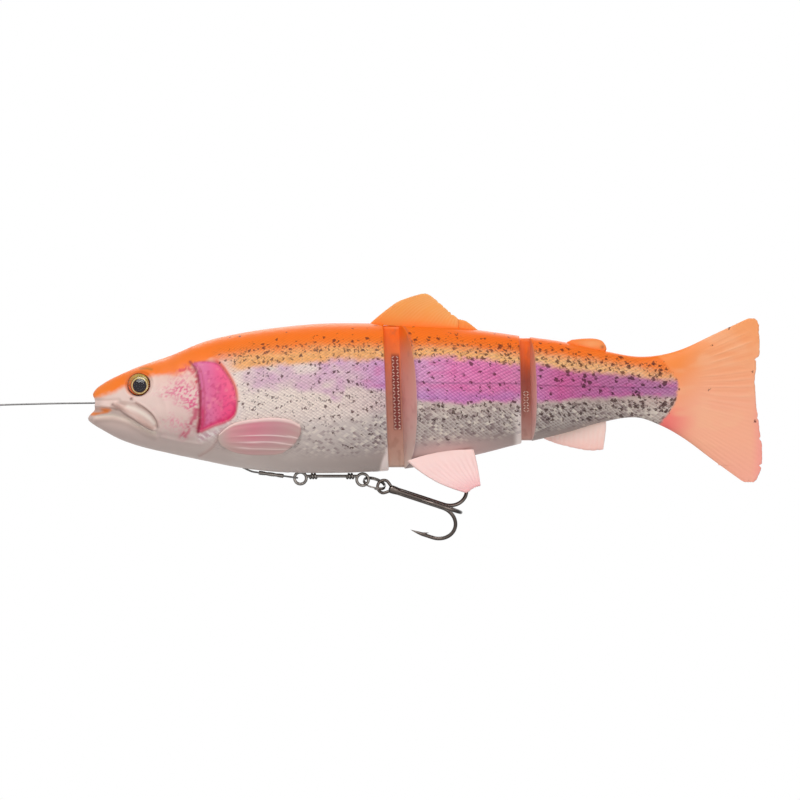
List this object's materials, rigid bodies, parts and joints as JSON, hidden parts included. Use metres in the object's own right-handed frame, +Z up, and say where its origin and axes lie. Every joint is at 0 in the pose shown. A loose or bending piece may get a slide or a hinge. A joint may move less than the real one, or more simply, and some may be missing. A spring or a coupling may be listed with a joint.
{
  "type": "swimbait",
  "caption": "Jointed soft trout swimbait on a wire leader, with a belly-slung wire bar, split ring and treble hook.",
  "frame": {"origin": "front mouth of the line tube, in the lure's mouth", "axes": "+X from nose to tail, +Z up through the back, -Y out of the left flank"},
  "size_m": [0.3165, 0.0338, 0.0921],
  "materials": {
    "soft_body": "soft translucent plastic, painted and lightly glossy",
    "back_fins": "soft plastic, orange",
    "tail_fin": "soft plastic, orange to pink",
    "belly_fins": "soft plastic, pale pink",
    "hinge_web": "clear soft plastic over woven mesh",
    "harness_mesh": "woven nylon net",
    "ballast": "cast lead, dull",
    "line_tube": "clear nylon tube",
    "iris": "printed foil disc",
    "eye_dome": "clear resin dome",
    "leader": "dark stranded steel wire",
    "black_nickel": "black nickel plate",
    "rig_wire": "black nickel plated wire, bright",
    "hook_black": "black nickel plated hook wire"
  },
  "bodies": {
    "head": {"head_section": "soft_body", "dorsal_fin": "back_fins", "pectoral_fin_left": "belly_fins", "pectoral_fin_right": "belly_fins", "eye_iris_left": "iris", "eye_iris_right": "iris", "eye_lens_left": "eye_dome", "eye_lens_right": "eye_dome", "line_tube": "line_tube", "front_weight": "ballast", "harness_mesh_front": "harness_mesh", "hinge_web_front": "hinge_web", "leader_wire": "leader", "leader_crimp": "black_nickel", "leader_loop": "leader", "nose_line": "leader", "line_crimp": "black_nickel", "line_loop": "leader", "swivel_rear_eye": "rig_wire"},
    "middle": {"middle_section": "soft_body", "dorsal_fin_tip": "back_fins", "pelvic_fin_left": "belly_fins", "pelvic_fin_right": "belly_fins", "middle_weight": "ballast", "harness_mesh_middle": "harness_mesh", "hinge_web_rear": "hinge_web"},
    "tail": {"tail_section": "soft_body", "adipose_fin": "back_fins", "anal_fin": "belly_fins", "harness_mesh_tail": "harness_mesh"},
    "tail_fin": {"tail_fin": "tail_fin"},
    "bar": {"stinger_bar": "rig_wire"},
    "ring": {"split_ring": "rig_wire"},
    "treble": {"treble_hook": "hook_black"},
    "swivel_barrel": {"swivel_barrel": "black_nickel"},
    "swivel_eye": {"swivel_front_eye": "rig_wire"}
  },
  "joints": [
    {"name": "front_hinge", "type": "hinge", "parent": "head", "child": "middle", "pos_m": [0.11, 0, 0], "axis": [-0.0366, 0, 0.9993], "range_deg": [-28, 28], "stiffness_Nm_per_rad": 0.06, "deforming": ["hinge_web_front"]},
    {"name": "rear_hinge", "type": "hinge", "parent": "middle", "child": "tail", "pos_m": [0.1589, 0, 0], "axis": [-0.0192, 0, 0.9998], "range_deg": [-26, 26], "stiffness_Nm_per_rad": 0.04, "deforming": ["hinge_web_rear"]},
    {"name": "tail_fin_flex", "type": "hinge", "parent": "tail", "child": "tail_fin", "pos_m": [0.2125, 0, 0], "axis": [0, 0, 1], "range_deg": [-25, 25], "stiffness_Nm_per_rad": 0.03},
    {"name": "bar_swing", "type": "hinge", "parent": "head", "child": "bar", "pos_m": [0.0741, 0, -0.02783], "axis": [0, 1, 0], "range_deg": [0, 55]},
    {"name": "ring_swing", "type": "hinge", "parent": "bar", "child": "ring", "pos_m": [0.0988, 0, -0.02858], "axis": [0, 1, 0], "range_deg": [0, 60]},
    {"name": "treble_turn", "type": "hinge", "parent": "ring", "child": "treble", "pos_m": [0.1055, 0, 0], "axis": [-0.0366, 0, 0.9993], "range_deg": [-28, 28]},
    {"name": "swivel_barrel_spin", "type": "hinge", "parent": "head", "child": "swivel_barrel", "pos_m": [-0.0584, 0, -0.00085], "axis": [1, 0, 0], "continuous": true},
    {"name": "swivel_eye_spin", "type": "hinge", "parent": "swivel_barrel", "child": "swivel_eye", "pos_m": [-0.0584, 0, -0.00085], "axis": [1, 0, 0], "continuous": true}
  ],
  "couplings": [
    {"joint": "treble_turn", "follows": "front_hinge", "ratio": 1}
  ]
}
